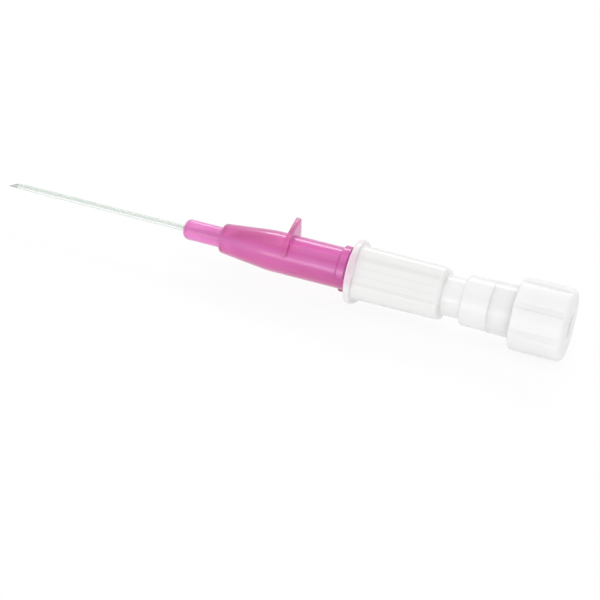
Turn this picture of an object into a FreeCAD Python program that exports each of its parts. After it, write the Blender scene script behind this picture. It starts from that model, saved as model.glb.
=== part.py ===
"""Peripheral IV cannula, 20 gauge, pen type: catheter on its needle, with a vented plug behind.

Millimetres. Every piece is modelled round the X axis, from the needle point backwards, with
the push-off plate upright. One placement then rolls the cannula to the way it lies.
"""
import FreeCAD, Part
import math
import os
import Sketcher
from FreeCAD import Placement, Rotation, Vector

doc = FreeCAD.newDocument("iv_cannula")

# Driving dimensions
SIZES = {
    # Steel needle
    "needle_diameter": 0.80,
    "needle_bore": 0.56,
    "tip_exposed": 2.0,
    "bevel_length": 1.8,
    "lancet_roll": 38.0,
    "lancet_length": 1.15,
    "needle_tail": 1.0,
    # Catheter tube
    "catheter_diameter": 1.10,
    "catheter_wall": 0.13,
    "catheter_length": 30.0,
    "tip_diameter": 0.90,
    "tip_taper": 2.5,
    "tip_lip": 0.5,
    "tube_in_nose": 3.2,
    "tube_stretch": 0.4,
    # Steel ferrule that holds the tube
    "ferrule_bore": 0.90,
    "ferrule_wall": 0.08,
    "ferrule_shank": 4.3,
    "ferrule_flare": 1.8,
    "ferrule_mouth": 2.80,
    "flare_cover": 1.0,
    # Catheter hub
    "hub_length": 31.2,
    "hub_diameter": 6.75,
    "nose_diameter": 3.40,
    "nose_length": 6.6,
    "nose_chamfer": 0.55,
    "shoulder_diameter": 4.84,
    "shoulder_chamfer": 0.45,
    "cone_length": 8.55,
    # Push-off plate
    "plate_offset": 17.9,
    "plate_thickness": 0.85,
    "plate_width": 8.0,
    "plate_drop": 0.7,
    "plate_side": 3.1,
    "plate_apex": 6.4,
    "plate_rounding": 0.5,
    # Locking lugs
    "lug_diameter": 7.80,
    "lug_length": 1.9,
    "lug_crest": 1.1,
    "lug_span": 100.0,
    "lug_roll": 22.0,
    "lug_count": 2,
    "lug_setback": 2.2,
    # Six per cent conical fittings
    "socket_mouth": 4.30,
    "luer_taper": 0.06,
    "socket_depth": 11.0,
    "rear_socket_depth": 9.0,
    "luer_clearance": 0.03,
    # Needle hub
    "nose_engagement": 10.5,
    "glue_well": 2.0,
    "glue_depth": 3.0,
    "rim_gap": 0.2,
    "flange_diameter": 10.6,
    "flange_thickness": 1.3,
    "flange_chamfer": 0.35,
    "skirt_bore": 7.0,
    "barrel_width": 8.8,
    "barrel_corner": 2.6,
    "barrel_length": 14.35,
    "barrel_draft": 0.7,
    "barrel_chamfer": 0.55,
    "barrel_end_wall": 1.5,
    "chamber_outside": 5.4,
    "chamber_bore": 3.6,
    "chamber_front_wall": 1.5,
    "neck_diameter": 6.60,
    "neck_length": 3.25,
    "collar_diameter": 8.30,
    "collar_length": 4.6,
    "collar_chamfer": 0.4,
    # Vented plug
    "plug_gap": 0.1,
    "plug_ring_diameter": 8.50,
    "plug_ring_length": 3.4,
    "plug_nose": 7.5,
    "vent_bore": 2.0,
    "filter_diameter": 5.0,
    "filter_thickness": 0.4,
    "filter_depth": 2.9,
    "cap_diameter": 11.9,
    "cap_length": 8.75,
    "cap_gap": 0.45,
    "cap_rear_chamfer": 0.8,
    "cap_wall": 1.25,
    "cap_end_wall": 2.2,
    "cap_boss": 7.4,
    "dimple_diameter": 4.2,
    "dimple_depth": 0.9,
    "cap_grooves": 8,
    "groove_floor": 0.8,
    "groove_mouth": 1.3,
    "groove_depth": 0.28,
    "cap_roll": 34.0,
    # Seats and running fits
    "seat_clearance": 0.01,
    "needle_clearance": 0.01,
}

size = doc.addObject("Spreadsheet::Sheet", "size")
for row, (alias, number) in enumerate(SIZES.items(), start=1):
    size.set(f"A{row}", alias.replace("_", " "))
    size.set(f"B{row}", str(number))
    size.setAlias(f"B{row}", alias)
doc.recompute()

# Stations along the axis, from the needle point backwards
CATHETER_TIP = "size.tip_exposed"
HUB_FRONT = f"({CATHETER_TIP} + size.catheter_length)"
SHOULDER = f"({HUB_FRONT} + size.nose_length)"
CONE_END = f"({SHOULDER} + size.cone_length)"
PLATE_FRONT = f"({HUB_FRONT} + size.plate_offset)"
HUB_REAR = f"({HUB_FRONT} + size.hub_length)"
LUG_REAR = f"({HUB_REAR} - size.lug_setback)"
TUBE_SWELL = f"({HUB_FRONT} + size.tube_in_nose)"
FERRULE_FRONT = f"({TUBE_SWELL} + size.tube_stretch)"
FLARE_START = f"({FERRULE_FRONT} + size.ferrule_shank)"
FLARE_END = f"({FLARE_START} + size.ferrule_flare)"
SOCKET_END = f"({HUB_REAR} - size.socket_depth)"
NOSE_FRONT = f"({HUB_REAR} - size.nose_engagement)"
RIM_STOP = f"({HUB_REAR} + size.rim_gap)"
FLANGE_FRONT = f"({LUG_REAR} + size.rim_gap)"
FLANGE_REAR = f"({FLANGE_FRONT} + size.flange_thickness)"
CHAMBER_FRONT = f"({RIM_STOP} + size.chamber_front_wall)"
BARREL_REAR = f"({FLANGE_REAR} + size.barrel_length)"
CORE_END = f"({BARREL_REAR} - size.barrel_end_wall)"
COLLAR_FRONT = f"({BARREL_REAR} + size.neck_length)"
COLLAR_REAR = f"({COLLAR_FRONT} + size.collar_length)"
REAR_SOCKET_END = f"({COLLAR_REAR} - size.rear_socket_depth)"
PLUG_NOSE_FRONT = f"({COLLAR_REAR} - size.plug_nose)"
RING_FRONT = f"({COLLAR_REAR} + size.plug_gap)"
RING_REAR = f"({RING_FRONT} + size.plug_ring_length)"
FILTER_FRONT = f"({RING_REAR} - size.filter_depth)"
FILTER_REAR = f"({FILTER_FRONT} + size.filter_thickness)"
CAP_FRONT = f"({RING_REAR} + size.cap_gap)"
CAP_REAR = f"({CAP_FRONT} + size.cap_length)"

# Radii that several pieces share
NEEDLE = "(size.needle_diameter / 2)"
CATHETER = "(size.catheter_diameter / 2)"
FERRULE = "(size.ferrule_bore / 2 + size.ferrule_wall)"
SWOLLEN = f"({FERRULE} + size.seat_clearance + size.catheter_wall)"
MOUTH = "(size.ferrule_mouth / 2)"
FLARE_SLOPE = f"(({MOUTH} - {FERRULE}) / size.ferrule_flare)"
FLARE_COVER_RISE = f"(size.flare_cover * {FLARE_SLOPE})"


def socket_radius(mouth, station):
    """Radius of a conical socket at a station ahead of its mouth."""
    return f"(size.socket_mouth / 2 - size.luer_taper / 2 * ({mouth} - {station}))"


def male_radius(mouth, station):
    """Radius of the cone that seats in that socket."""
    return f"({socket_radius(mouth, station)} - size.luer_clearance)"


def value(expression):
    """Number that an expression over the sheet gives."""
    return float(size.evalExpression(expression))


def new_body(name):
    """Body of one piece, placed with the whole cannula: centred and lying on z = 0.

    The cannula rolls until one of its cap's grooves faces the surface that it lies on.
    """
    body = doc.addObject("PartDesign::Body", name)
    body.Label = name
    body.Placement = Placement(Vector(0, 0, 0), Rotation(Vector(-1, 0, 0), 1))
    body.setExpression("Placement.Base.x", f"-{CAP_REAR} / 2")
    body.setExpression("Placement.Base.z", "size.cap_diameter / 2")
    body.setExpression("Placement.Rotation.Angle", "size.cap_roll")
    return body


def origin_feature(body, role):
    """Origin plane or axis of a body, by its role."""
    for feature in body.Origin.OriginFeatures:
        if feature.Role == role:
            return feature
    raise ValueError(role)


def bind_place(sketch, vertex, direction, expression):
    """Fix one coordinate of a line's start, from either side of the sketch's origin."""
    number = value(expression)
    if abs(number) < 1e-9:
        axis = -2 if direction == "DistanceX" else -1
        sketch.addConstraint(Sketcher.Constraint("PointOnObject", vertex, 1, axis))
        return
    if number > 0:
        ends = (-1, 1, vertex, 1)
        distance = expression
    else:
        ends = (vertex, 1, -1, 1)
        distance = f"-({expression})"
    index = sketch.addConstraint(Sketcher.Constraint(direction, *ends, abs(number)))
    sketch.setExpression(f"Constraints[{index}]", distance)


def outline(body, name, corners, plane="XZ_Plane"):
    """Closed sketch through the corners, each given by two expressions."""
    sketch = body.newObject("Sketcher::SketchObject", name)
    sketch.AttachmentSupport = [(origin_feature(body, plane), "")]
    sketch.MapMode = "FlatFace"
    points = [Vector(value(first), value(second), 0) for first, second in corners]
    for index, point in enumerate(points):
        sketch.addGeometry(Part.LineSegment(point, points[(index + 1) % len(points)]), False)
    for index in range(len(points)):
        following = (index + 1) % len(points)
        sketch.addConstraint(Sketcher.Constraint("Coincident", index, 2, following, 1))
    for index, (first, second) in enumerate(corners):
        bind_place(sketch, index, "DistanceX", first)
        bind_place(sketch, index, "DistanceY", second)
    return sketch


def set_station(sketch, station, roll="0"):
    """Move a sketch on the YZ plane to a station along the axis and turn it about the axis."""
    sketch.AttachmentOffset = Placement(Vector(0, 0, 0), Rotation(Vector(0, 0, 1), 1))
    sketch.setExpression("AttachmentOffset.Base.z", station)
    sketch.setExpression("AttachmentOffset.Rotation.Angle", roll)


def roll_about_axis(sketch, angle, side):
    """Turn a sketch on the XZ plane about the long axis, to one side of upright."""
    sketch.AttachmentOffset = Placement(Vector(0, 0, 0), Rotation(Vector(side, 0, 0), 1))
    sketch.setExpression("AttachmentOffset.Rotation.Angle", angle)


def turned(body, name, corners, kind="PartDesign::Revolution"):
    """Full turn of an outline about the long axis, added or cut away."""
    sketch = outline(body, f"{name}_outline", corners)
    feature = body.newObject(kind, name)
    feature.Profile = sketch
    feature.ReferenceAxis = (sketch, ["H_Axis"])
    feature.Angle = 360
    doc.recompute()
    return feature


def cut_round(body, name, corners):
    """Turned cut, with a check that it takes material away."""
    before = body.Tip.Shape.Volume
    feature = turned(body, name, corners, "PartDesign::Groove")
    if feature.Shape.Volume >= before:
        raise RuntimeError(f"{body.Label}: {name} cuts nothing")
    return feature


def round_edges(feature, places):
    """Names of the circular edges centred on the axis at the given stations and radii."""
    names = []
    for index, edge in enumerate(feature.Shape.Edges, start=1):
        if not isinstance(edge.Curve, Part.Circle):
            continue
        for station, radius in places:
            at_station = abs(edge.Curve.Center.x - value(station)) < 1e-4
            if at_station and abs(edge.Curve.Radius - value(radius)) < 1e-4:
                names.append(f"Edge{index}")
    return names


def long_edges(feature, places):
    """Names of the straight edges along the axis that pass through the given places across it."""
    targets = [Vector(0, value(across), value(up)) for across, up in places]
    names = []
    for index, edge in enumerate(feature.Shape.Edges, start=1):
        if not isinstance(edge.Curve, Part.Line) or abs(edge.Curve.Direction.x) < 0.999:
            continue
        start = edge.Vertexes[0].Point
        start.x = 0
        if any(start.isEqual(target, 1e-4) for target in targets):
            names.append(f"Edge{index}")
    return names


def fillet(body, name, edges, radius):
    """Rounding of the named edges of the body's last feature."""
    base = body.Tip
    feature = body.newObject("PartDesign::Fillet", name)
    feature.Base = (base, edges)
    feature.setExpression("Radius", radius)
    doc.recompute()
    return feature


def chamfer(body, name, edges, width):
    """Chamfer on the named edges of the body's last feature."""
    base = body.Tip
    feature = body.newObject("PartDesign::Chamfer", name)
    feature.Base = (base, edges)
    feature.setExpression("Size", width)
    doc.recompute()
    return feature


def chamfer_round(body, name, places, width):
    """Chamfer on circular edges at stations and radii."""
    return chamfer(body, name, round_edges(body.Tip, places), width)


def polar(body, name, original, occurrences):
    """Copies of a feature spread evenly round the long axis."""
    pattern = body.newObject("PartDesign::PolarPattern", name)
    pattern.Originals = [original]
    pattern.Axis = (origin_feature(body, "X_Axis"), [""])
    pattern.Angle = 360
    pattern.setExpression("Occurrences", occurrences)
    body.Tip = pattern
    doc.recompute()
    return pattern


def ground_plane_cut(body, name, height, slope, roll_side):
    """Cut everything above a sloping line from the point, in a plane rolled about the axis."""
    margin = "size.needle_diameter"
    corners = [
        (f"-{margin}", f"({height} - {margin} * {slope})"),
        (f"(size.bevel_length + {margin})", f"({height} + (size.bevel_length + {margin}) * {slope})"),
        (f"-{margin}", f"({height} + (size.bevel_length + {margin}) * {slope})"),
    ]
    sketch = outline(body, f"{name}_outline", corners)
    if roll_side:
        roll_about_axis(sketch, "size.lancet_roll", roll_side)
    before = body.Tip.Shape.Volume
    pocket = body.newObject("PartDesign::Pocket", name)
    pocket.Profile = sketch
    pocket.SideType = "Symmetric"
    pocket.setExpression("Length", "2 * size.needle_diameter")
    doc.recompute()
    if pocket.Shape.Volume >= before:
        raise RuntimeError(f"{name} cuts nothing")
    return pocket


def make_needle():
    """Steel tube with a long bevel facing the push-off plate and two lancet facets."""
    body = new_body("needle")
    bore = "(size.needle_bore / 2)"
    raw_front = f"-{NEEDLE}"
    tail = f"({CHAMBER_FRONT} + size.needle_tail)"
    turned(body, "needle_tube", [
        (raw_front, bore),
        (raw_front, NEEDLE),
        (tail, NEEDLE),
        (tail, bore),
    ])
    bevel_slope = "(size.needle_diameter / size.bevel_length)"
    ground_plane_cut(body, "bevel", f"-{NEEDLE}", bevel_slope, 0)
    lancet_height = f"(-{NEEDLE} * cos(size.lancet_roll * 1 deg))"
    lancet_slope = "(size.needle_diameter / size.lancet_length)"
    ground_plane_cut(body, "lancet_near", lancet_height, lancet_slope, 1)
    ground_plane_cut(body, "lancet_far", lancet_height, lancet_slope, -1)
    return body


def make_needle_adhesive():
    """Bead of adhesive that fills the well in the needle hub's nose round the needle."""
    body = new_body("needle_adhesive")
    inner = f"({NEEDLE} + size.needle_clearance)"
    outer = "(size.glue_well / 2 - size.seat_clearance)"
    turned(body, "bead", [
        (NOSE_FRONT, inner),
        (NOSE_FRONT, outer),
        (f"({NOSE_FRONT} + size.glue_depth)", outer),
        (f"({NOSE_FRONT} + size.glue_depth)", inner),
    ])
    return body


def make_catheter_tube():
    """Soft tube, thinned at the tip and stretched over the ferrule at its other end."""
    body = new_body("catheter_tube")
    bore = f"({CATHETER} - size.catheter_wall)"
    tip_bore = f"({NEEDLE} + size.needle_clearance)"
    stretched_bore = f"({FERRULE} + size.seat_clearance)"
    cover_end = f"({FLARE_START} + size.flare_cover)"
    turned(body, "tube", [
        (CATHETER_TIP, tip_bore),
        (CATHETER_TIP, "(size.tip_diameter / 2)"),
        (f"({CATHETER_TIP} + size.tip_taper)", CATHETER),
        (TUBE_SWELL, CATHETER),
        (FERRULE_FRONT, SWOLLEN),
        (FLARE_START, SWOLLEN),
        (cover_end, f"({SWOLLEN} + {FLARE_COVER_RISE})"),
        (cover_end, f"({stretched_bore} + {FLARE_COVER_RISE})"),
        (FLARE_START, stretched_bore),
        (FERRULE_FRONT, stretched_bore),
        (TUBE_SWELL, bore),
        (f"({CATHETER_TIP} + size.tip_lip)", bore),
        (f"({CATHETER_TIP} + size.tip_lip)", tip_bore),
    ])
    return body


def make_ferrule():
    """Thin steel funnel whose shank and cone pinch the tube in the catheter hub."""
    body = new_body("ferrule")
    bore = "(size.ferrule_bore / 2)"
    turned(body, "funnel", [
        (FERRULE_FRONT, bore),
        (FERRULE_FRONT, FERRULE),
        (FLARE_START, FERRULE),
        (FLARE_END, MOUTH),
        (FLARE_END, f"({MOUTH} - size.ferrule_wall)"),
        (FLARE_START, bore),
    ])
    return body


def add_plate(body):
    """Push-off plate: a wall across the hub with upright sides and a pointed top."""
    half = "(size.plate_width / 2)"
    side_top = "(size.plate_side - size.plate_drop)"
    corners = [
        (f"-{half}", "-size.plate_drop"),
        (half, "-size.plate_drop"),
        (half, side_top),
        ("0", "size.plate_apex"),
        (f"-{half}", side_top),
    ]
    sketch = outline(body, "plate_outline", corners, "YZ_Plane")
    set_station(sketch, PLATE_FRONT)
    pad = body.newObject("PartDesign::Pad", "plate")
    pad.Profile = sketch
    pad.setExpression("Length", "size.plate_thickness")
    doc.recompute()
    fillet(body, "plate_corners", long_edges(pad, corners), "size.plate_rounding")


def add_lugs(body):
    """Two opposite locking lugs near the hub's open end, each with sloping flanks."""
    root = "(size.hub_diameter / 2 - size.rim_gap)"
    crest = "(size.lug_diameter / 2)"
    flank = "((size.lug_length - size.lug_crest) / 2)"
    lug_front = f"({LUG_REAR} - size.lug_length)"
    sketch = outline(body, "lug_outline", [
        (lug_front, root),
        (lug_front, "(size.hub_diameter / 2)"),
        (f"({lug_front} + {flank})", crest),
        (f"({LUG_REAR} - {flank})", crest),
        (LUG_REAR, "(size.hub_diameter / 2)"),
        (LUG_REAR, root),
    ])
    roll_about_axis(sketch, "size.lug_roll", -1)
    lug = body.newObject("PartDesign::Revolution", "lug")
    lug.Profile = sketch
    lug.ReferenceAxis = (sketch, ["H_Axis"])
    lug.Midplane = True
    lug.setExpression("Angle", "size.lug_span")
    doc.recompute()
    polar(body, "lugs", lug, "size.lug_count")


def make_catheter_hub():
    """Coloured hub: round nose, cone, push-off plate, lugs and a conical socket behind."""
    body = new_body("catheter_hub")
    nose = "(size.nose_diameter / 2)"
    shoulder = "(size.shoulder_diameter / 2)"
    barrel = "(size.hub_diameter / 2)"
    turned(body, "hub_outside", [
        (HUB_FRONT, "0"),
        (HUB_FRONT, nose),
        (SHOULDER, nose),
        (SHOULDER, shoulder),
        (CONE_END, barrel),
        (HUB_REAR, barrel),
        (HUB_REAR, "0"),
    ])
    chamfer_round(body, "nose_edge", [(HUB_FRONT, nose)], "size.nose_chamfer")
    chamfer_round(body, "shoulder_edge", [(SHOULDER, shoulder)], "size.shoulder_chamfer")
    add_plate(body)
    add_lugs(body)
    tube_bore = f"({CATHETER} + size.seat_clearance)"
    swollen_bore = f"({SWOLLEN} + size.seat_clearance)"
    throat = f"({swollen_bore} + size.ferrule_flare * {FLARE_SLOPE})"
    cut_round(body, "hub_bore", [
        (HUB_FRONT, "0"),
        (HUB_FRONT, tube_bore),
        (TUBE_SWELL, tube_bore),
        (FERRULE_FRONT, swollen_bore),
        (FLARE_START, swollen_bore),
        (FLARE_END, throat),
        (SOCKET_END, throat),
        (SOCKET_END, socket_radius(HUB_REAR, SOCKET_END)),
        (HUB_REAR, "(size.socket_mouth / 2)"),
        (HUB_REAR, "0"),
    ])
    return body


def rounded_square(body, name, half, corner):
    """Sketch of a square with round corners, centred on the axis."""
    sketch = body.newObject("Sketcher::SketchObject", name)
    sketch.AttachmentSupport = [(origin_feature(body, "YZ_Plane"), "")]
    sketch.MapMode = "FlatFace"
    reach = value(half)
    radius = value(corner)
    turn = Rotation(Vector(0, 0, 1), 90)
    start = Vector(radius - reach, -reach, 0)
    end = Vector(reach - radius, -reach, 0)
    centre = Vector(reach - radius, radius - reach, 0)
    for side in range(4):
        arc = Part.ArcOfCircle(
            Part.Circle(centre, Vector(0, 0, 1), radius),
            math.radians(90 * side - 90),
            math.radians(90 * side),
        )
        sketch.addGeometry(Part.LineSegment(start, end), False)
        sketch.addGeometry(arc, False)
        start, end, centre = (turn.multVec(point) for point in (start, end, centre))
    for index in range(8):
        following = (index + 1) % 8
        sketch.addConstraint(Sketcher.Constraint("Tangent", index, 2, following, 1))
    level = ["Horizontal", "Vertical", "Horizontal", "Vertical"]
    measure = ["DistanceY", "DistanceX", "DistanceY", "DistanceX"]
    for side in range(4):
        line = 2 * side
        sketch.addConstraint(Sketcher.Constraint(level[side], line))
        ends = (-1, 1, line, 1) if side in (1, 2) else (line, 1, -1, 1)
        index = sketch.addConstraint(Sketcher.Constraint(measure[side], *ends, reach))
        sketch.setExpression(f"Constraints[{index}]", half)
        index = sketch.addConstraint(Sketcher.Constraint("Radius", line + 1, radius))
        sketch.setExpression(f"Constraints[{index}]", corner)
    return sketch


def add_barrel(body):
    """Finger grip: a drafted rounded square behind the flange."""
    sketch = rounded_square(body, "barrel_outline", "size.barrel_width / 2", "size.barrel_corner")
    set_station(sketch, FLANGE_REAR)
    pad = body.newObject("PartDesign::Pad", "barrel")
    pad.Profile = sketch
    pad.setExpression("Length", "size.barrel_length")
    pad.setExpression("TaperAngle", "-size.barrel_draft")
    doc.recompute()
    rear_centre = Vector(value(BARREL_REAR), 0, 0)
    rear_names = []
    for index, edge in enumerate(pad.Shape.Edges, start=1):
        on_rear_face = all(abs(vertex.X - rear_centre.x) < 1e-4 for vertex in edge.Vertexes)
        nearest = min(vertex.Point.distanceToPoint(rear_centre) for vertex in edge.Vertexes)
        if on_rear_face and nearest > value("size.neck_diameter / 2") + 1e-4:
            rear_names.append(f"Edge{index}")
    rear_half = "(size.barrel_width / 2 - size.barrel_length * tan(size.barrel_draft * 1 deg))"
    end_ledge = f"({rear_half} - size.neck_diameter / 2)"
    chamfer(body, "barrel_rear_edge", rear_names, f"min(size.barrel_chamfer; 0.7 * {end_ledge})")


def make_needle_hub():
    """Clear moulding: conical nose, flange, grip barrel round the flash chamber, rear socket."""
    body = new_body("needle_hub")
    flange = "(size.flange_diameter / 2)"
    neck = "(size.neck_diameter / 2)"
    collar = "(size.collar_diameter / 2)"
    turned(body, "hub_outside", [
        (NOSE_FRONT, "0"),
        (NOSE_FRONT, male_radius(HUB_REAR, NOSE_FRONT)),
        (FLANGE_FRONT, male_radius(HUB_REAR, FLANGE_FRONT)),
        (FLANGE_FRONT, flange),
        (FLANGE_REAR, flange),
        (FLANGE_REAR, neck),
        (COLLAR_FRONT, neck),
        (COLLAR_FRONT, collar),
        (COLLAR_REAR, collar),
        (COLLAR_REAR, "0"),
    ])
    flange_edges = [(FLANGE_FRONT, flange), (FLANGE_REAR, flange)]
    chamfer_round(body, "flange_rim", flange_edges, "size.flange_chamfer")
    chamfer_round(body, "collar_edge", [(COLLAR_FRONT, collar)], "size.collar_chamfer")
    add_barrel(body)
    skirt = "(size.skirt_bore / 2)"
    chamber = "(size.chamber_outside / 2)"
    cut_round(body, "skirt_core", [
        (FLANGE_FRONT, male_radius(HUB_REAR, FLANGE_FRONT)),
        (FLANGE_FRONT, skirt),
        (CORE_END, skirt),
        (CORE_END, chamber),
        (RIM_STOP, chamber),
        (RIM_STOP, male_radius(HUB_REAR, RIM_STOP)),
    ])
    chamber_bore = "(size.chamber_bore / 2)"
    cut_round(body, "rear_bore", [
        (CHAMBER_FRONT, "0"),
        (CHAMBER_FRONT, chamber_bore),
        (REAR_SOCKET_END, chamber_bore),
        (REAR_SOCKET_END, socket_radius(COLLAR_REAR, REAR_SOCKET_END)),
        (COLLAR_REAR, "(size.socket_mouth / 2)"),
        (COLLAR_REAR, "0"),
    ])
    needle_hole = f"({NEEDLE} + size.needle_clearance)"
    well = "(size.glue_well / 2)"
    well_end = f"({NOSE_FRONT} + size.glue_depth)"
    cut_round(body, "needle_bore", [
        (NOSE_FRONT, "0"),
        (NOSE_FRONT, well),
        (well_end, well),
        (well_end, needle_hole),
        (CHAMBER_FRONT, needle_hole),
        (CHAMBER_FRONT, "0"),
    ])
    return body


def make_plug_body():
    """Plug: conical nose in the needle hub's rear socket and a ring that holds the filter."""
    body = new_body("plug_body")
    ring = "(size.plug_ring_diameter / 2)"
    turned(body, "plug_outside", [
        (PLUG_NOSE_FRONT, "0"),
        (PLUG_NOSE_FRONT, male_radius(COLLAR_REAR, PLUG_NOSE_FRONT)),
        (RING_FRONT, male_radius(COLLAR_REAR, RING_FRONT)),
        (RING_FRONT, ring),
        (RING_REAR, ring),
        (RING_REAR, "0"),
    ])
    seat = "(size.filter_diameter / 2 + size.seat_clearance)"
    cut_round(body, "vent_way", [
        (PLUG_NOSE_FRONT, "0"),
        (PLUG_NOSE_FRONT, "(size.vent_bore / 2)"),
        (FILTER_FRONT, "(size.vent_bore / 2)"),
        (FILTER_FRONT, seat),
        (RING_REAR, seat),
        (RING_REAR, "0"),
    ])
    return body


def make_filter():
    """Porous disc that lets air out of the chamber and holds blood back."""
    body = new_body("filter_disc")
    radius = "(size.filter_diameter / 2)"
    turned(body, "disc", [
        (FILTER_FRONT, "0"),
        (FILTER_FRONT, radius),
        (FILTER_REAR, radius),
        (FILTER_REAR, "0"),
    ])
    return body


def make_plug_cap():
    """Ribbed grip pressed into the plug body, cored from the front and vented in the middle."""
    body = new_body("plug_cap")
    rim = "(size.cap_diameter / 2)"
    boss = "(size.cap_boss / 2)"
    stem = "(size.filter_diameter / 2)"
    turned(body, "cap_outside", [
        (FILTER_REAR, "0"),
        (FILTER_REAR, stem),
        (RING_REAR, stem),
        (RING_REAR, boss),
        (CAP_FRONT, boss),
        (CAP_FRONT, rim),
        (CAP_REAR, rim),
        (CAP_REAR, "0"),
    ])
    chamfer_round(body, "cap_rear_edge", [(CAP_REAR, rim)], "size.cap_rear_chamfer")
    core = f"({rim} - size.cap_wall)"
    core_end = f"({CAP_REAR} - size.cap_end_wall)"
    cut_round(body, "cap_core", [
        (CAP_FRONT, boss),
        (CAP_FRONT, core),
        (core_end, core),
        (core_end, boss),
    ])
    cut_round(body, "vent_and_dimple", [
        (FILTER_REAR, "0"),
        (FILTER_REAR, "(size.vent_bore / 2)"),
        (f"({CAP_REAR} - size.dimple_depth)", "(size.vent_bore / 2)"),
        (f"({CAP_REAR} - size.dimple_depth)", "(size.dimple_diameter / 2)"),
        (CAP_REAR, "(size.dimple_diameter / 2)"),
        (CAP_REAR, "0"),
    ])
    floor = f"({rim} - size.groove_depth)"
    above = f"({rim} + size.groove_depth)"
    groove_sketch = outline(body, "groove_outline", [
        ("(-size.groove_floor / 2)", floor),
        ("(size.groove_floor / 2)", floor),
        ("(size.groove_mouth - size.groove_floor / 2)", above),
        ("(size.groove_floor / 2 - size.groove_mouth)", above),
    ], "YZ_Plane")
    set_station(groove_sketch, CAP_FRONT, "size.cap_roll")
    before = body.Tip.Shape.Volume
    pocket = body.newObject("PartDesign::Pocket", "grip_groove")
    pocket.Profile = groove_sketch
    pocket.setExpression("Length", "size.cap_length")
    pocket.Reversed = True
    doc.recompute()
    if pocket.Shape.Volume >= before:
        raise RuntimeError("grip_groove cuts nothing")
    polar(body, "grip_grooves", pocket, "size.cap_grooves")
    return body


bodies = [
    make_needle(),
    make_needle_adhesive(),
    make_needle_hub(),
    make_catheter_tube(),
    make_ferrule(),
    make_catheter_hub(),
    make_plug_body(),
    make_filter(),
    make_plug_cap(),
]
doc.recompute()

# Every object must be sound before anything is written
for item in doc.Objects:
    if "Invalid" in item.State or "Error" in item.State:
        raise RuntimeError(f"{item.Name} failed: {item.State}")
for body in bodies:
    if body.Shape.isNull() or not body.Shape.isValid():
        raise RuntimeError(f"{body.Label} has no sound shape")

os.makedirs("parts", exist_ok=True)
for body in bodies:
    body.Shape.exportStep(f"parts/{body.Label}.step")
    print(body.Label, len(body.Shape.Solids), round(body.Shape.Volume, 3), body.Shape.BoundBox)
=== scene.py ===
"""Peripheral IV cannula on a white studio floor, seen from above the cap's end.

Metres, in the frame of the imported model: the needle axis runs along X, the floor is z = 0.
The refined pieces are written in millimetres along the cannula's own axis, from the needle's
point backwards, with the push-off plate upright. LYING then puts their vertices where it lies.
"""
import math

import bmesh
import bpy
from mathutils import Matrix, Vector


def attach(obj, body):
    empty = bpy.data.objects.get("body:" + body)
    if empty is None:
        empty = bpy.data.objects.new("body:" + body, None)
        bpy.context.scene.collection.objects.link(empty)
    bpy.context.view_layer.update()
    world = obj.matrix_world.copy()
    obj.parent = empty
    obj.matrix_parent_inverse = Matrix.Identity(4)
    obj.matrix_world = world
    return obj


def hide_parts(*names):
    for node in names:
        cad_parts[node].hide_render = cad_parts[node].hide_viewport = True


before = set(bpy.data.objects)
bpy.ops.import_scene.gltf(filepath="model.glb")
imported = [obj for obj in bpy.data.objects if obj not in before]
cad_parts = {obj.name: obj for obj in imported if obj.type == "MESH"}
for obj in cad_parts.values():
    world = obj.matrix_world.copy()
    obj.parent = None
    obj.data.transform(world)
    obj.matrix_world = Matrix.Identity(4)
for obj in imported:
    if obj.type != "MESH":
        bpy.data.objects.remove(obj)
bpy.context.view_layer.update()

MM = 0.001
LENGTH = 97.4
CAP_RADIUS = 5.95

# The cannula lies on its cap, rolled so that the push-off plate leans to one side
ROLL = 34.0
CENTRE = Vector((0.0, 0.0, CAP_RADIUS * MM))
LYING = (
    Matrix.Translation((-LENGTH / 2 * MM, 0, CAP_RADIUS * MM))
    @ Matrix.Rotation(math.radians(-ROLL), 4, "X")
)

# Stations along the axis, in millimetres from the needle's point
LANCET_END = 1.15
BEVEL_END = 1.8
CATHETER_TIP = 2.0
NEEDLE_ROUND = 2.2
LIP_END = 2.5
TAPER_END = 4.5
HUB_FRONT = 32.0
TUBE_SWELL = 35.2
FERRULE_FRONT = 35.6
SHOULDER = 38.6
FLARE_START = 39.9
TUBE_END = 40.9
FLARE_END = 41.7
CONE_END = 47.15
PLATE_FRONT = 49.9
SOCKET_END = 52.2
NOSE_FRONT = 52.7
WELL_REAR = 55.7
LUG_REAR = 61.0
FLANGE_FRONT = 61.2
FLANGE_REAR = 62.5
HUB_REAR = 63.2
RIM_STOP = 63.4
CHAMBER_FRONT = 64.9
NEEDLE_TAIL = 65.9
CORE_END = 75.35
REAR_SOCKET_END = 75.7
BARREL_REAR = 76.85
PLUG_NOSE_FRONT = 77.2
COLLAR_FRONT = 80.1
COLLAR_REAR = 84.7
RING_FRONT = 84.71
FILTER_FRONT = 85.3
FILTER_REAR = 85.7
RING_REAR = 88.2
CAP_FRONT = 88.65
RING_LIP = RING_REAR + 0.9
CAP_CORE_END = 95.2
DIMPLE_FLOOR = 96.5

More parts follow.
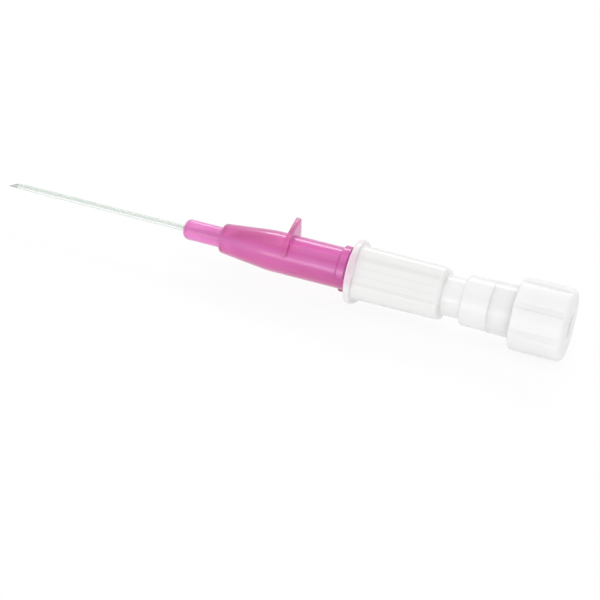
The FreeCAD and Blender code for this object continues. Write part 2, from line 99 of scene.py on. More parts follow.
# Radii in millimetres, from the needle outwards
NEEDLE_BORE = 0.28
NEEDLE_RADIUS = 0.4
NEEDLE_SEAT = 0.41
TUBE_BORE = 0.42
TIP_RADIUS = 0.46
TUBE_RADIUS = 0.55
TUBE_SEAT = 0.56
SWOLLEN_BORE = 0.54
SWOLLEN_RADIUS = 0.67
SWOLLEN_SEAT = 0.68
VENT_RADIUS = 1.0
FLARED_BORE = 1.023
FLARED_RADIUS = 1.153
HUB_BORE = 1.55
HUB_NOSE_RADIUS = 1.7
CHAMBER_BORE = 1.8
DIMPLE_RADIUS = 2.1
SOCKET_MOUTH = 2.15
SHOULDER_RADIUS = 2.42
FILTER_RADIUS = 2.5
FILTER_SEAT = 2.51
CHAMBER_RADIUS = 2.7
NECK_RADIUS = 3.3
HUB_RADIUS = 3.375
SKIRT_BORE = 3.5
BOSS_RADIUS = 3.7
BOSS_SEAT = 3.72
LUG_RADIUS = 3.9
COLLAR_RADIUS = 4.15
RING_RADIUS = 4.25
CAP_BORE = 4.7
FLANGE_RADIUS = 5.3

# Half widths of the square barrel, and of the square that its corner arcs turn about
BARREL_HALF = 4.4
BARREL_FLAT = 1.8
BARREL_DRAFT = math.radians(0.7)

# Angle between faces, in degrees, beyond which an edge stays sharp
SHARP_EDGE = 28


# Sections of turned walls are rows of (station, radius, form). The form is "round", "square"
# for the grip barrel, "grooved" for the cap or "ground" for the needle's point.

def arc(before, corner, after, radius, steps):
    """Points of a rounding between two straight stretches of a section."""
    to_before = (before - corner).normalized()
    to_after = (after - corner).normalized()
    half = to_before.angle(to_after) / 2
    reach = radius / math.tan(half)
    centre = corner + (to_before + to_after).normalized() * (radius / math.sin(half))
    start = corner + to_before * reach - centre
    end = corner + to_after * reach - centre
    turn = start.angle_signed(end)
    points = []
    for step in range(steps + 1):
        angle = turn * step / steps
        cosine, sine = math.cos(angle), math.sin(angle)
        offset = Vector((start.x * cosine + start.y * sine, start.y * cosine - start.x * sine))
        points.append(centre + offset)
    return points


def section(*corners, steps=5):
    """Closed section through corners of (station, radius, form, rounding)."""
    rows = []
    count = len(corners)
    for index, (station, radius, form, rounding) in enumerate(corners):
        corner = Vector((station, radius))
        if not rounding:
            rows.append((station, radius, form))
            continue
        before = Vector(corners[index - 1][:2])
        after = Vector(corners[(index + 1) % count][:2])
        for point in arc(before, corner, after, rounding, steps):
            rows.append((point.x, point.y, form))
    return rows


def square_reach(half, angle):
    """Distance to a rounded square's edge at an angle, for its half width."""
    folded = (angle + math.pi / 4) % (math.pi / 2) - math.pi / 4
    cosine, sine = math.cos(folded), abs(math.sin(folded))
    if half * sine / cosine <= BARREL_FLAT:
        return half / cosine
    corner = half - BARREL_FLAT
    aside = BARREL_FLAT * (cosine - sine)
    return BARREL_FLAT * (cosine + sine) + math.sqrt(corner ** 2 - aside ** 2)


# Grip grooves of the cap: eight, with a flat floor and sloping walls
GROOVES = 8
GROOVE_FLOOR = CAP_RADIUS - 0.28
GROOVE_HALF = 0.4
GROOVE_WALL = 0.5 / 0.56
GROOVE_ROLL = math.radians(ROLL + 90)


def groove_reach(angle):
    """Distance to the grooved rim at an angle."""
    pitch = 2 * math.pi / GROOVES
    offset = abs((angle - GROOVE_ROLL + pitch / 2) % pitch - pitch / 2)
    floor = GROOVE_FLOOR / math.cos(offset)
    if GROOVE_FLOOR * math.tan(offset) <= GROOVE_HALF:
        return floor
    slope = math.sin(offset) - GROOVE_WALL * math.cos(offset)
    return min(CAP_RADIUS, (GROOVE_HALF - GROOVE_WALL * GROOVE_FLOOR) / slope)


# Needle's point: a long bevel that faces the plate and two lancet facets beside it
LANCET_ROLL = math.radians(38)


def ground_front(radius, angle):
    """Station at which a tube wall starts behind the three ground faces."""
    starts = [(radius * math.sin(angle) + NEEDLE_RADIUS) * BEVEL_END]
    for roll in (LANCET_ROLL, -LANCET_ROLL):
        height = radius * math.sin(angle + roll) + NEEDLE_RADIUS * math.cos(LANCET_ROLL)
        starts.append(height * LANCET_END)
    return max(starts) / (2 * NEEDLE_RADIUS)


def even_angles(count):
    """Angles evenly spread over a full turn."""
    return [2 * math.pi * index / count for index in range(count)]


def groove_angles():
    """Angles round the cap, close together at the grooves' edges."""
    # Degrees from a groove's middle
    offsets = [0, 2.2, 3.7, 4.05, 4.4, 5.1, 5.8, 6.1, 6.5, 7.4, 10, 13, 16, 19]
    sector = [-offset for offset in reversed(offsets[1:])] + offsets + [180 / GROOVES]
    return [
        math.radians(number * 360 / GROOVES + offset) + GROOVE_ROLL
        for number in range(GROOVES)
        for offset in sector
    ]


def around(station, distance, angle):
    """Spot in metres at a station, a distance from the axis and an angle round it."""
    return station * MM, distance * math.cos(angle) * MM, distance * math.sin(angle) * MM


def lathe(name, rows, angles):
    """Closed ring of a turned section."""
    mesh = bmesh.new()
    rings = []
    for station, radius, form in rows:
        ring = []
        for angle in angles:
            along, reach = station, radius
            if form == "square":
                reach = square_reach(radius, angle)
            elif form == "grooved":
                reach = min(radius, groove_reach(angle))
            elif form == "ground":
                along = ground_front(radius, angle)
            ring.append(mesh.verts.new(around(along, reach, angle)))
        rings.append(ring)
    for index, ring in enumerate(rings):
        following = rings[(index + 1) % len(rings)]
        for number in range(len(angles)):
            beside = (number + 1) % len(angles)
            mesh.faces.new((ring[number], ring[beside], following[beside], following[number]))
    return finished(name, mesh)


def finished(name, mesh):
    """Object of a closed mesh, put where the cannula lies, smooth but for its sharp edges."""
    mesh.transform(LYING)
    bmesh.ops.recalc_face_normals(mesh, faces=mesh.faces)
    data = bpy.data.meshes.new(name)
    mesh.to_mesh(data)
    mesh.free()
    data.shade_smooth()
    data.set_sharp_from_angle(angle=math.radians(SHARP_EDGE))
    piece = bpy.data.objects.new(name, data)
    bpy.context.collection.objects.link(piece)
    return piece


LUER_SLOPE = 0.03
LUER_CLEARANCE = 0.03


def socket_radius(mouth, station):
    """Radius of a six per cent socket at a station ahead of its mouth."""
    return SOCKET_MOUTH - LUER_SLOPE * (mouth - station)


def cone_radius(mouth, station):
    """Radius there of the male cone that seats in the socket."""
    return socket_radius(mouth, station) - LUER_CLEARANCE


# Needle, its hub and the plug

def needle():
    """Drawn steel tube with a ground point."""
    rows = [
        (0, NEEDLE_RADIUS, "ground"),
        (NEEDLE_ROUND, NEEDLE_RADIUS, "round"),
        (NEEDLE_TAIL, NEEDLE_RADIUS, "round"),
        (NEEDLE_TAIL, NEEDLE_BORE, "round"),
        (NEEDLE_ROUND, NEEDLE_BORE, "round"),
        (0, NEEDLE_BORE, "ground"),
    ]
    return lathe("needle_tube", rows, even_angles(64))


def needle_hub():
    """Conical nose, flange, grip barrel round the flash chamber, neck and collar."""
    rear_half = BARREL_HALF - (BARREL_REAR - FLANGE_REAR) * math.tan(BARREL_DRAFT)
    rows = section(
        (NOSE_FRONT, VENT_RADIUS, "round", 0.1),
        (NOSE_FRONT, cone_radius(HUB_REAR, NOSE_FRONT), "round", 0.15),
        (RIM_STOP, cone_radius(HUB_REAR, RIM_STOP), "round", 0.1),
        (RIM_STOP, CHAMBER_RADIUS, "round", 0.1),
        (CORE_END, CHAMBER_RADIUS, "round", 0.2),
        (CORE_END, SKIRT_BORE, "round", 0.2),
        (FLANGE_FRONT, SKIRT_BORE, "round", 0.15),
        (FLANGE_FRONT, FLANGE_RADIUS, "round", 0.45),
        (FLANGE_REAR, FLANGE_RADIUS, "round", 0.45),
        (FLANGE_REAR, BARREL_HALF, "square", 0.4),
        (BARREL_REAR, rear_half, "square", 0.75),
        (BARREL_REAR, NECK_RADIUS, "round", 0.15),
        (COLLAR_FRONT, NECK_RADIUS, "round", 0.2),
        (COLLAR_FRONT, COLLAR_RADIUS, "round", 0.5),
        (COLLAR_REAR, COLLAR_RADIUS, "round", 0.03),
        (COLLAR_REAR, SOCKET_MOUTH, "round", 0.1),
        (REAR_SOCKET_END, socket_radius(COLLAR_REAR, REAR_SOCKET_END), "round", 0),
        (REAR_SOCKET_END, CHAMBER_BORE, "round", 0),
        (CHAMBER_FRONT, CHAMBER_BORE, "round", 0.3),
        (CHAMBER_FRONT, NEEDLE_SEAT, "round", 0),
        (WELL_REAR, NEEDLE_SEAT, "round", 0),
        (WELL_REAR, VENT_RADIUS, "round", 0),
    )
    return lathe("grip_moulding", rows, even_angles(144))


def plug_body():
    """Conical nose and the ring that holds the filter."""
    rows = section(
        (PLUG_NOSE_FRONT, VENT_RADIUS, "round", 0),
        (PLUG_NOSE_FRONT, cone_radius(COLLAR_REAR, PLUG_NOSE_FRONT), "round", 0.2),
        (RING_FRONT, cone_radius(COLLAR_REAR, RING_FRONT), "round", 0),
        (RING_FRONT, RING_RADIUS, "round", 0.05),
        (RING_LIP, RING_RADIUS, "round", 0.1),
        (RING_LIP, BOSS_SEAT, "round", 0),
        (RING_REAR, BOSS_SEAT, "round", 0),
        (RING_REAR, FILTER_SEAT, "round", 0),
        (FILTER_FRONT, FILTER_SEAT, "round", 0),
        (FILTER_FRONT, VENT_RADIUS, "round", 0),
    )
    return lathe("plug_moulding", rows, even_angles(96))


def plug_cap():
    """Grip cap with eight grooves, a deep core in front and a dimple behind."""
    rows = section(
        (FILTER_REAR, VENT_RADIUS, "round", 0),
        (FILTER_REAR, FILTER_RADIUS, "round", 0),
        (RING_REAR, FILTER_RADIUS, "round", 0),
        (RING_REAR, BOSS_RADIUS, "round", 0),
        (CAP_CORE_END, BOSS_RADIUS, "round", 0.2),
        (CAP_CORE_END, CAP_BORE, "round", 0.2),
        (CAP_FRONT, CAP_BORE, "round", 0.15),
        (CAP_FRONT, CAP_RADIUS, "grooved", 0.6),
        (LENGTH, CAP_RADIUS, "grooved", 1.0),
        (LENGTH, DIMPLE_RADIUS, "round", 0.3),
        (DIMPLE_FLOOR, DIMPLE_RADIUS, "round", 0.25),
        (DIMPLE_FLOOR, VENT_RADIUS, "round", 0),
        steps=7,
    )
    return lathe("cap_moulding", rows, groove_angles())


# Catheter

TUBE_STEP = 3.07


def catheter_tube():
    """Soft tube with a thinned tip, stretched over the ferrule inside the hub."""
    rings = [TAPER_END + TUBE_STEP * step for step in range(1, 10)]
    rows = section(
        (CATHETER_TIP, NEEDLE_SEAT, "round", 0.02),
        (CATHETER_TIP, TIP_RADIUS, "round", 0.03),
        (TAPER_END, TUBE_RADIUS, "round", 20.0),
        *((station, TUBE_RADIUS, "round", 0) for station in rings),
        (TUBE_SWELL, TUBE_RADIUS, "round", 0),
        (FERRULE_FRONT, SWOLLEN_RADIUS, "round", 0),
        (FLARE_START, SWOLLEN_RADIUS, "round", 0),
        (TUBE_END, FLARED_RADIUS, "round", 0),
        (TUBE_END, FLARED_BORE, "round", 0),
        (FLARE_START, SWOLLEN_BORE, "round", 0),
        (FERRULE_FRONT, SWOLLEN_BORE, "round", 0),
        (TUBE_SWELL, TUBE_BORE, "round", 0),
        *((station, TUBE_BORE, "round", 0) for station in reversed(rings)),
        (TAPER_END, TUBE_BORE, "round", 0),
        (LIP_END, TUBE_BORE, "round", 0),
        (LIP_END, NEEDLE_SEAT, "round", 0),
        steps=3,
    )
    return lathe("tube_moulding", rows, even_angles(48))


# Catheter hub

def hub_wall():
    """Turned wall of the catheter hub, from its round nose to its conical socket."""
    rows = section(
        (HUB_FRONT, TUBE_SEAT, "round", 0.1),
        (HUB_FRONT, HUB_NOSE_RADIUS, "round", 0.95),
        (SHOULDER, HUB_NOSE_RADIUS, "round", 0.2),
        (SHOULDER, SHOULDER_RADIUS, "round", 0.6),
        (CONE_END, HUB_RADIUS, "round", 20.0),
        (HUB_REAR, HUB_RADIUS, "round", 0.2),
        (HUB_REAR, SOCKET_MOUTH, "round", 0.12),
        (SOCKET_END, socket_radius(HUB_REAR, SOCKET_END), "round", 0),
        (SOCKET_END, HUB_BORE, "round", 0),
        (FLARE_END, HUB_BORE, "round", 0),
        (FLARE_START, SWOLLEN_SEAT, "round", 0),
        (FERRULE_FRONT, SWOLLEN_SEAT, "round", 0),
        (TUBE_SWELL, TUBE_SEAT, "round", 0),
        steps=8,
    )
    return lathe("hub_moulding", rows, even_angles(128))


def rounded_outline(corners, rounding, steps=5):
    """Closed outline through (across, up) corners, each rounded."""
    points = []
    count = len(corners)
    for index, corner in enumerate(corners):
        before = Vector(corners[index - 1])
        after = Vector(corners[(index + 1) % count])
        points += arc(before, Vector(corner), after, rounding, steps)
    return points


def skin(mesh, layers):
    """Faces between the layers of a closed form, and over its first and last layer."""
    for first, second in zip(layers, layers[1:]):
        for number in range(len(first)):
            beside = (number + 1) % len(first)
            mesh.faces.new((first[number], first[beside], second[beside], second[number]))
    mesh.faces.new(layers[0])
    mesh.faces.new(layers[-1])


PLATE_REAR = PLATE_FRONT + 0.85
PLATE_OUTLINE = [(-4.0, -0.7), (4.0, -0.7), (4.0, 2.4), (0, 6.4), (-4.0, 2.4)]
PLATE_ROUNDING = 0.5
PLATE_MIDDLE = Vector((0, 1.6))

# How far the plate's edges are rounded, and the rounding's steps as shares of that:
# how far in from the outline, and how far from the face
PLATE_EDGE = 0.18
PLATE_EDGE_STEPS = [(1, 0), (0.7, 0.09), (0.3, 0.3), (0, 1)]


def plate():
    """Push-off plate with softly rounded edges, whole across the hub's bore, which catheter_hub
    cuts out of it.
    """
    outline = rounded_outline(PLATE_OUTLINE, PLATE_ROUNDING)
    mesh = bmesh.new()
    layers = []
    for face, way, shares in (
        (PLATE_FRONT, 1, PLATE_EDGE_STEPS),
        (PLATE_REAR, -1, PLATE_EDGE_STEPS[::-1]),
    ):
        for inset, depth in shares:
            station = face + way * depth * PLATE_EDGE
            layer = []
            for point in outline:
                spot = point + (PLATE_MIDDLE - point).normalized() * PLATE_EDGE * inset
                layer.append(mesh.verts.new((station * MM, spot.x * MM, spot.y * MM)))
            layers.append(layer)
    skin(mesh, layers)
    return finished("plate_blank", mesh)


LUG_FRONT = LUG_REAR - 1.9
LUG_CREST_FRONT = LUG_REAR - 1.5
LUG_CREST_REAR = LUG_REAR - 0.4
LUG_FOOT = 3.0

# Where the first lug's middle stands round the hub, in degrees, and how far a lug spans
LUG_ROLL = -22
LUG_HALF_SPAN = math.radians(50)
LUG_STEPS = 12


def lug(side):
    """One locking lug: a band across part of the hub, with sloping flanks."""
    profile = [
        (LUG_FRONT, LUG_FOOT),
        (LUG_FRONT, HUB_RADIUS),
        (LUG_CREST_FRONT, LUG_RADIUS),
        (LUG_CREST_REAR, LUG_RADIUS),
        (LUG_REAR, HUB_RADIUS),
        (LUG_REAR, LUG_FOOT),
    ]
    middle = math.radians(LUG_ROLL + 180 * side)
    mesh = bmesh.new()
    layers = []
    for step in range(2 * LUG_STEPS + 1):
        angle = middle + LUG_HALF_SPAN * (step / LUG_STEPS - 1)
        layers.append([
            mesh.verts.new(around(station, radius, angle)) for station, radius in profile
        ])
    skin(mesh, layers)
    return finished(f"lug_blank_{side}", mesh)


def bore_plug():
    """Core that keeps the plate out of the hub's bore."""
    on_axis, inside_wall = 0.0001, 2.8
    return lathe("core_blank", [
        (PLATE_FRONT - 1, on_axis, "round"),
        (PLATE_FRONT - 1, inside_wall, "round"),
        (PLATE_FRONT + 2, inside_wall, "round"),
        (PLATE_FRONT + 2, on_axis, "round"),
    ], even_angles(64))


def combine(target, tool, operation):
    """Boolean of two closed pieces, which uses the tool up."""
    modifier = target.modifiers.new(operation.lower(), "BOOLEAN")
    modifier.operation = operation
    modifier.solver = "EXACT"
    modifier.object = tool
    bpy.context.view_layer.update()
    evaluated = target.evaluated_get(bpy.context.evaluated_depsgraph_get())
    data = bpy.data.meshes.new_from_object(evaluated)
    target.modifiers.clear()
    target.data = data
    bpy.data.objects.remove(tool)


def catheter_hub():
    """Coloured moulding: turned wall, push-off plate and two locking lugs in one."""
    hub = hub_wall()
    blank = plate()
    combine(blank, bore_plug(), "DIFFERENCE")
    combine(hub, blank, "UNION")
    for side in (0, 1):
        combine(hub, lug(side), "UNION")
    hub.data.shade_smooth()
    hub.data.set_sharp_from_angle(angle=math.radians(SHARP_EDGE))
    return hub


# Node helpers

def principled(name, **sockets):
    """New material with one Principled shader, whose plain sockets are set by name."""
    material = bpy.data.materials.new(name)
    material.use_nodes = True
    shader = material.node_tree.nodes["Principled BSDF"]
    for socket, value in sockets.items():
        shader.inputs[socket.replace("_", " ")].default_value = value
    return material, shader


def add(material, kind, **settings):
    """New node in a material's tree, with its properties and plain sockets set by name."""
    node = material.node_tree.nodes.new(kind)
    for key, value in settings.items():
        if hasattr(node, key):
            setattr(node, key, value)
        else:
            node.inputs[key.replace("_", " ")].default_value = value
    return node


def link(material, source, target):
    """Link between two sockets of a material's tree."""
    material.node_tree.links.new(source, target)


def object_coordinates(material, scale=(1, 1, 1)):
    """Object coordinates stretched along the axes, for textures that follow the drawing."""
    coordinates = add(material, "ShaderNodeTexCoord")
    mapping = add(material, "ShaderNodeMapping", Scale=scale)
    link(material, coordinates.outputs["Object"], mapping.inputs["Vector"])
    return mapping.outputs["Vector"]


def ramp(material, source, stops):
    """Colour ramp of (position, colour) stops."""
    node = add(material, "ShaderNodeValToRGB")
    elements = node.color_ramp.elements
    while len(elements) > 1:
        elements.remove(elements[-1])
    elements[0].position = stops[0][0]
    elements[0].color = (*stops[0][1], 1)
    for position, colour in stops[1:]:
        elements.new(position).color = (*colour, 1)
    link(material, source, node.inputs["Fac"])
    return node.outputs["Color"]


def bump(material, height, strength, depth, below=None):
    """Normal bumped by a height, over another bump below it."""
    node = add(material, "ShaderNodeBump", Strength=strength, Distance=depth)
    link(material, height, node.inputs["Height"])
    if below:
        link(material, below, node.inputs["Normal"])
    return node.outputs["Normal"]


def spread(material, source, low, high):
    """Maps a 0 to 1 value to a low to high one."""
    node = add(material, "ShaderNodeMapRange", To_Min=low, To_Max=high)
    link(material, source, node.inputs["Value"])
    return node.outputs["Result"]


def place(material):
    """Station, distance across and distance up along the cannula's own axis, in metres."""
    coordinates = add(material, "ShaderNodeTexCoord")
    upright = LYING.inverted()
    mapping = add(
        material, "ShaderNodeMapping",
        Location=upright.to_translation(), Rotation=upright.to_euler())
    link(material, coordinates.outputs["Object"], mapping.inputs["Vector"])
    parts = add(material, "ShaderNodeSeparateXYZ")
    link(material, mapping.outputs["Vector"], parts.inputs["Vector"])
    return parts.outputs


def rise(material):
    """How high on its ring a place lies, from 0 below the axis to 1 above it."""
    coordinates = add(material, "ShaderNodeTexCoord")
    about_axis = add(
        material, "ShaderNodeMapping", Location=(0, 0, -CAP_RADIUS * MM), Scale=(0, 1, 1))
    link(material, coordinates.outputs["Object"], about_axis.inputs["Vector"])
    direction = add(material, "ShaderNodeVectorMath", operation="NORMALIZE")
    link(material, about_axis.outputs["Vector"], direction.inputs[0])
    parts = add(material, "ShaderNodeSeparateXYZ")
    link(material, direction.outputs["Vector"], parts.inputs["Vector"])
    height = add(material, "ShaderNodeMapRange", From_Min=-1.0)
    link(material, parts.outputs["Z"], height.inputs["Value"])
    return height.outputs["Result"]


# Colour sockets of the Mix node
MIX_FIRST = 6
MIX_SECOND = 7
MIX_RESULT = 2


def tinted(material, colour, tint, share=None):
    """Colour multiplied by a tint, wholly or in a share from 0 to 1."""
    node = add(material, "ShaderNodeMix", data_type="RGBA", blend_type="MULTIPLY", Factor=1.0)
    if share:
        link(material, share, node.inputs["Factor"])
    link(material, colour, node.inputs[MIX_FIRST])
    link(material, tint, node.inputs[MIX_SECOND])
    return node.outputs[MIX_RESULT]


def between(material, source, start, end, low=0.0, high=1.0):
    """Smooth step of a value from low at the start to high at the end."""
    node = add(material, "ShaderNodeMapRange", interpolation_type="SMOOTHSTEP")
    ends = {"From Min": start, "From Max": end, "To Min": low, "To Max": high}
    for name, number in ends.items():
        node.inputs[name].default_value = number
    link(material, source, node.inputs["Value"])
    return node.outputs["Result"]


def calculate(material, operation, first, second=None):
    """Result of a Math node on one or two numbers or sockets."""
    node = add(material, "ShaderNodeMath", operation=operation)
    for index, source in enumerate((first, second)):
        if isinstance(source, (int, float)):
            node.inputs[index].default_value = source
        elif source is not None:
            link(material, source, node.inputs[index])
    return node.outputs["Value"]


# Materials

WHITE = (1.0, 1.0, 1.0)


def steel():
    """Drawn stainless tube with faint drawing lines along it, and painted shade on its ground
    point.
    """
    material, shader = principled("drawn_steel", Metallic=1.0)
    lines = add(material, "ShaderNodeTexNoise", Scale=2600.0, Detail=1.0)
    link(material, object_coordinates(material, (0.004, 1, 1)), lines.inputs["Vector"])
    shades = [(0.3, (0.73, 0.78, 0.74)), (0.7, (0.79, 0.84, 0.80))]
    drawn = ramp(material, lines.outputs["Fac"], shades)
    # Painted shade: the steel darkens towards the point, where the bevel's opening shows dark
    behind_point = between(material, place(material)[0], 1.4 * MM, 2.1 * MM)
    ground = ramp(material, behind_point, [(0.0, (0.64, 0.64, 0.64)), (1.0, WHITE)])
    link(material, tinted(material, drawn, ground), shader.inputs["Base Color"])
    link(material, spread(material, lines.outputs["Fac"], 0.28, 0.34), shader.inputs["Roughness"])
    link(material, bump(material, lines.outputs["Fac"], 0.2, 0.002 * MM), shader.inputs["Normal"])
    return material


def moulded(name, light, dark, roughness, grain, tones=None, **sockets):
    """Injection-moulded plastic: flow marks in colour and surface, fine grain in its gloss."""
    material, shader = principled(name, **sockets)
    flow = add(material, "ShaderNodeTexNoise", Scale=320.0, Detail=3.0, Distortion=0.6)
    link(material, object_coordinates(material, (0.35, 1, 1)), flow.inputs["Vector"])
    colour = ramp(material, flow.outputs["Fac"], [(0.3, dark), (0.7, light)])
    if tones:
        colour = tones(material, colour)
    link(material, colour, shader.inputs["Base Color"])
    fine = add(material, "ShaderNodeTexNoise", Scale=9000.0, Detail=2.0)
    link(material, object_coordinates(material), fine.inputs["Vector"])
    link(material, spread(material, fine.outputs["Fac"], *roughness), shader.inputs["Roughness"])
    waves = bump(material, flow.outputs["Fac"], 0.4, 0.05 * MM)
    grained = bump(material, fine.outputs["Fac"], grain, 0.01 * MM, waves)
    link(material, grained, shader.inputs["Normal"])
    return material


def grip_rib_lines_and_painted_light(material, colour):
    """Rib lines that show through the barrel, painted highlight and shade along its rounded
    corners, and painted pink light and shade where the pink hub shows through its mouth.
    """
    station, across, up = place(material)
    across = calculate(material, "ABSOLUTE", across)
    up = calculate(material, "ABSOLUTE", up)
    from_middle = calculate(material, "MINIMUM", across, up)
    # Painted light and shade: thin dark lines of the ribs inside, then a painted highlight line
    # and painted shade bands along the rounded corners
    rib_lines_and_corner_light = ramp(material, calculate(material, "DIVIDE", from_middle, 4 * MM), [
        (0.0, (0.99, 0.99, 0.985)),
        (0.145, (0.985, 0.985, 0.98)),
        (0.16, (0.86, 0.86, 0.855)),
        (0.175, (0.985, 0.985, 0.98)),
        (0.40, (0.98, 0.98, 0.97)),
        (0.43, WHITE),
        (0.455, (0.83, 0.83, 0.82)),
        (0.48, (0.99, 0.99, 0.99)),
        (0.52, (0.88, 0.885, 0.87)),
        (0.70, (0.95, 0.955, 0.94)),
        (0.91, WHITE),
    ])
    behind_flange = between(
        material, station, (FLANGE_REAR + 0.1) * MM, (FLANGE_REAR + 0.6) * MM)
    before_end = between(
        material, station, (BARREL_REAR - 1.0) * MM, (BARREL_REAR - 0.3) * MM, 1.0, 0.0)
    on_barrel = calculate(material, "MULTIPLY", behind_flange, before_end)
    colour = tinted(material, colour, rib_lines_and_corner_light, on_barrel)
    # Painted pink light and shade: the flange and the barrel's mouth are tinted and darkened as
    # if lit through the pink hub, from just below the axis upwards and less near the top
    painted_pink_light = ramp(material, between(material, station, FLANGE_FRONT * MM, (HUB_REAR + 1) * MM), [
        (0.0, WHITE),
        (0.01, (0.95, 0.84, 0.90)),
        (0.09, (0.89, 0.72, 0.81)),
        (0.24, (0.90, 0.74, 0.825)),
        (0.36, (0.96, 0.86, 0.91)),
        (0.42, (1.0, 0.94, 0.965)),
        (0.60, (0.985, 0.92, 0.95)),
        (0.95, WHITE),
    ])
    height = rise(material)
    over_bottom = between(material, height, 0.44, 0.64)
    below_top = between(material, height, 0.92, 0.99, 1.0, 0.3)
    beside_hub = calculate(material, "MULTIPLY", over_bottom, below_top)
    return tinted(material, colour, painted_pink_light, beside_hub)


def hub_painted_light_and_shade(material, colour):
    """Paler pink in the thin nose; painted light and shade round the body: painted shade below, a
    painted highlight band along the sides and painted shade over the top of the cone; a deeper
    tone at the plate's edge.
    """
    station, _, up = place(material)
    height = rise(material)
    # Painted light and shade by height round the axis: painted shade below, a painted highlight
    # band along the sides
    painted_side_light_and_shade = ramp(material, height, [
        (0.07, (0.81, 0.47, 0.62)),
        (0.35, (0.845, 0.49, 0.66)),
        (0.52, (0.94, 0.605, 0.84)),
        (0.66, (1.0, 0.95, 1.0)),
        (0.74, WHITE),
        (0.84, (0.96, 0.63, 0.865)),
    ])
    behind_nose = between(material, station, (SHOULDER - 0.1) * MM, (SHOULDER + 0.1) * MM)
    colour = tinted(material, colour, painted_side_light_and_shade, behind_nose)
    # Painted shade over the top of the cone
    painted_top_shade = ramp(material, height, [(0.84, WHITE), (0.93, (0.86, 0.80, 0.74))])
    before_plate = between(material, station, CONE_END * MM, PLATE_FRONT * MM, 1.0, 0.0)
    on_cone = calculate(material, "MULTIPLY", before_plate, behind_nose)
    colour = tinted(material, colour, painted_top_shade, on_cone)
    from_plate = between(
        material, station, (PLATE_FRONT - 0.05) * MM, (PLATE_FRONT + 0.8) * MM)
    deep = (0.89, 0.85, 0.73)
    stops = [(0.0, WHITE), (0.02, deep), (0.93, deep), (0.98, WHITE)]
    plate_edge = ramp(material, from_plate, stops)
    above_plate_foot = between(material, up, -0.75 * MM, -0.65 * MM)
    return tinted(material, colour, plate_edge, above_plate_foot)


def tube_painted_reflection(material, colour):
    """Green-grey where the needle shows through the tube, and an opaque painted white reflection
    low on its sides.
    """
    shader = material.node_tree.nodes["Principled BSDF"]
    height = rise(material)
    clear, painted_reflection_opacity = (0.28, 0.28, 0.28), (0.85, 0.85, 0.85)
    # Painted reflection: a band of the tube is made nearly opaque, as if it mirrored the white
    # floor
    cover = ramp(material, height, [(0.42, clear), (0.47, painted_reflection_opacity), (0.62, painted_reflection_opacity), (0.68, clear)])
    link(material, cover, shader.inputs["Alpha"])
    green = (0.905, 0.965, 0.92)
    # Painted reflection in colour: white in the same band, green-grey elsewhere
    tones = ramp(material, height, [(0.42, green), (0.47, WHITE), (0.62, WHITE), (0.68, green)])
    return tinted(material, colour, tones)


steel_look = steel()
pink_look = moulded(
    "transparent_pink", light=(0.98, 0.30, 0.74), dark=(0.95, 0.25, 0.69),
    roughness=(0.26, 0.32), grain=0.02, tones=hub_painted_light_and_shade,
    Transmission_Weight=0.55, IOR=1.40, Coat_Weight=0.8, Coat_Roughness=0.14)
frosted_look = moulded(
    "frosted_clear", light=(0.96, 0.96, 0.96), dark=(0.94, 0.94, 0.94),
    roughness=(0.28, 0.32), grain=0.05,
    Transmission_Weight=0.14, IOR=1.40, Coat_Weight=0.3, Coat_Roughness=0.12,
    Subsurface_Weight=0.7, Subsurface_Radius=(1, 1, 1), Subsurface_Scale=1.0 * MM)
grip_look = moulded(
    "frosted_grip", light=(0.975, 0.975, 0.97), dark=(0.955, 0.955, 0.95),
    roughness=(0.28, 0.32), grain=0.05, tones=grip_rib_lines_and_painted_light,
    Transmission_Weight=0.14, IOR=1.40, Coat_Weight=0.3, Coat_Roughness=0.12,
    Subsurface_Weight=0.3, Subsurface_Radius=(1, 1, 1), Subsurface_Scale=0.5 * MM)
white_look = moulded(
    "satin_white", light=(0.95, 0.95, 0.95), dark=(0.935, 0.935, 0.935),
    roughness=(0.34, 0.38), grain=0.05,
    Transmission_Weight=0.10, IOR=1.42,
    Subsurface_Weight=0.6, Subsurface_Radius=(1, 1, 1), Subsurface_Scale=1.0 * MM)
tube_look = moulded(
    "clear_tube", light=(0.975, 0.975, 0.975), dark=(0.955, 0.955, 0.955),
    roughness=(0.20, 0.24), grain=0.02, tones=tube_painted_reflection,
    Transmission_Weight=0.0, IOR=1.34)
adhesive_look = moulded(
    "clear_adhesive", light=(0.93, 0.92, 0.86), dark=(0.90, 0.89, 0.82),
    roughness=(0.10, 0.15), grain=0.1,
    Transmission_Weight=0.80, IOR=1.50)
filter_look = moulded(
    "porous_filter", light=(0.90, 0.90, 0.89), dark=(0.82, 0.82, 0.81),
    roughness=(0.80, 0.95), grain=0.8,
    Transmission_Weight=0.0, IOR=1.45)

LOOKS = {
    "ferrule": steel_look,
    "needle_adhesive": adhesive_look,
    "filter_disc": filter_look,
}

for node_name, look in LOOKS.items():
    for material_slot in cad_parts[node_name].material_slots:
        material_slot.link = "OBJECT"
        material_slot.material = look

REFINED = (
    (needle, "needle", "needle_set", "steel", steel_look),
    (catheter_tube, "catheter_tube", "catheter", "catheter_plastic", tube_look),
    (needle_hub, "needle_hub", "needle_set", "frosted_plastic", grip_look),
    (catheter_hub, "catheter_hub", "catheter", "pink_plastic", pink_look),
    (plug_body, "plug_body", "plug", "frosted_plastic", frosted_look),
    (plug_cap, "plug_cap", "plug", "white_plastic", white_look),
)

for build, node_name, body_name, slot_name, look in REFINED:
    piece = build()
    piece.data.materials.clear()
    piece.data.materials.append(look)
    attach(piece, body_name)
    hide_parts(node_name)


# Floor

FLOOR_SIZE = 3.0

# Share of plain white in what is seen of the paper
GLOW_SHARE = 0.90


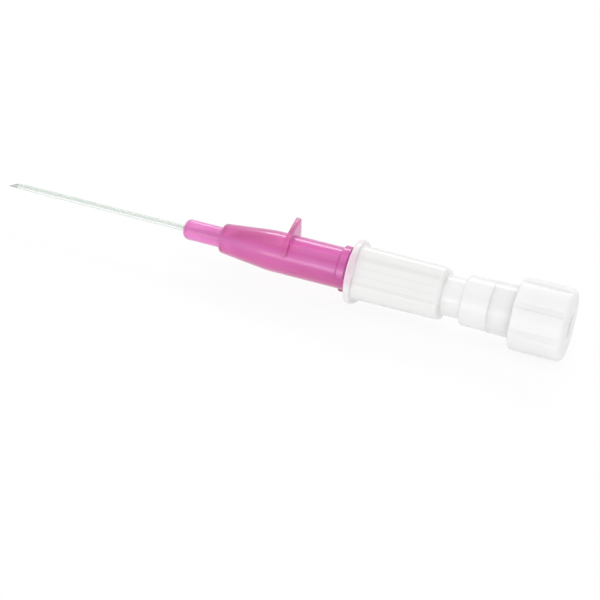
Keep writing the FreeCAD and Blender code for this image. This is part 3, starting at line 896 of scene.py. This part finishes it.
def floor_material():
    """White paper that shows as plain white and keeps a faint shadow."""
    material, shader = principled("white_paper", Roughness=0.9)
    shader.inputs["Base Color"].default_value = (0.93, 0.93, 0.93, 1)
    shader.inputs["Specular IOR Level"].default_value = 0.1
    rays = add(material, "ShaderNodeLightPath").outputs
    seen = calculate(material, "MAXIMUM", rays["Is Camera Ray"], rays["Is Glossy Ray"])
    seen = calculate(material, "MAXIMUM", seen, rays["Is Transmission Ray"])
    share = calculate(material, "MULTIPLY", seen, GLOW_SHARE)
    glow = add(material, "ShaderNodeEmission", Strength=1.0)
    mix = add(material, "ShaderNodeMixShader")
    link(material, share, mix.inputs["Fac"])
    link(material, shader.outputs["BSDF"], mix.inputs[1])
    link(material, glow.outputs["Emission"], mix.inputs[2])
    output = material.node_tree.nodes["Material Output"]
    link(material, mix.outputs["Shader"], output.inputs["Surface"])
    return material


bpy.ops.mesh.primitive_plane_add(size=FLOOR_SIZE, location=(0, 0, 0))
floor = bpy.context.object
floor.name = "floor"
floor.data.materials.append(floor_material())


# Light

WORLD_LEVEL = 0.82

world = bpy.data.worlds.new("studio")
bpy.context.scene.world = world
world.use_nodes = True
background = world.node_tree.nodes["Background"]
background.inputs["Color"].default_value = (1, 1, 1, 1)
background.inputs["Strength"].default_value = WORLD_LEVEL


def softbox(name, azimuth, elevation, distance, width, height, watts):
    """Area light that faces the cannula's centre from an azimuth and elevation in degrees."""
    data = bpy.data.lights.new(name, "AREA")
    data.shape = "RECTANGLE"
    data.size = width
    data.size_y = height
    data.energy = watts
    lamp = bpy.data.objects.new(name, data)
    bpy.context.collection.objects.link(lamp)
    turn = math.radians(azimuth)
    lift = math.radians(elevation)
    level = math.cos(lift)
    away = Vector((math.sin(turn) * level, -math.cos(turn) * level, math.sin(lift)))
    lamp.location = CENTRE + distance * away
    lamp.rotation_euler = away.to_track_quat("Z", "Y").to_euler()


softbox("back_light", 180, 41, 0.7, 0.6, 0.12, 1.4)
softbox("front_light", 0, 5, 0.6, 0.6, 0.22, 1.0)
softbox("top_light", -20, 75, 0.8, 0.5, 0.5, 0.6)


# Camera

# Fitted to the photograph: the view's direction and upright, and the pixel on which the
# cannula's centre falls
VIEW_DIRECTION = Vector((0.2594, -0.8155, 0.5174)).normalized()
VIEW_UP = Vector((-0.2377, 0.4652, 0.8527))
VIEW_DISTANCE = 0.35
FOCAL_PIXELS = 2150
FRAME_PIXELS = 600
SENSOR = 36.0
OBJECT_PIXEL = (280.2, 252.4)

camera_data = bpy.data.cameras.new("camera")
camera_data.sensor_width = SENSOR
camera_data.lens = FOCAL_PIXELS / FRAME_PIXELS * SENSOR
camera_data.clip_start = 0.01
camera = bpy.data.objects.new("camera", camera_data)
bpy.context.collection.objects.link(camera)
bpy.context.scene.camera = camera
eye = CENTRE + VIEW_DISTANCE * VIEW_DIRECTION
right = VIEW_UP.cross(VIEW_DIRECTION).normalized()
up = VIEW_DIRECTION.cross(right)
per_pixel = VIEW_DISTANCE / FOCAL_PIXELS
half_frame = FRAME_PIXELS / 2
aim = CENTRE + right * (half_frame - OBJECT_PIXEL[0]) * per_pixel
aim = aim - up * (half_frame - OBJECT_PIXEL[1]) * per_pixel
back = (eye - aim).normalized()
right = up.cross(back).normalized()
up = back.cross(right)
camera.matrix_world = Matrix.Translation(eye) @ Matrix((right, up, back)).transposed().to_4x4()

bpy.context.scene.view_settings.view_transform = "Standard"
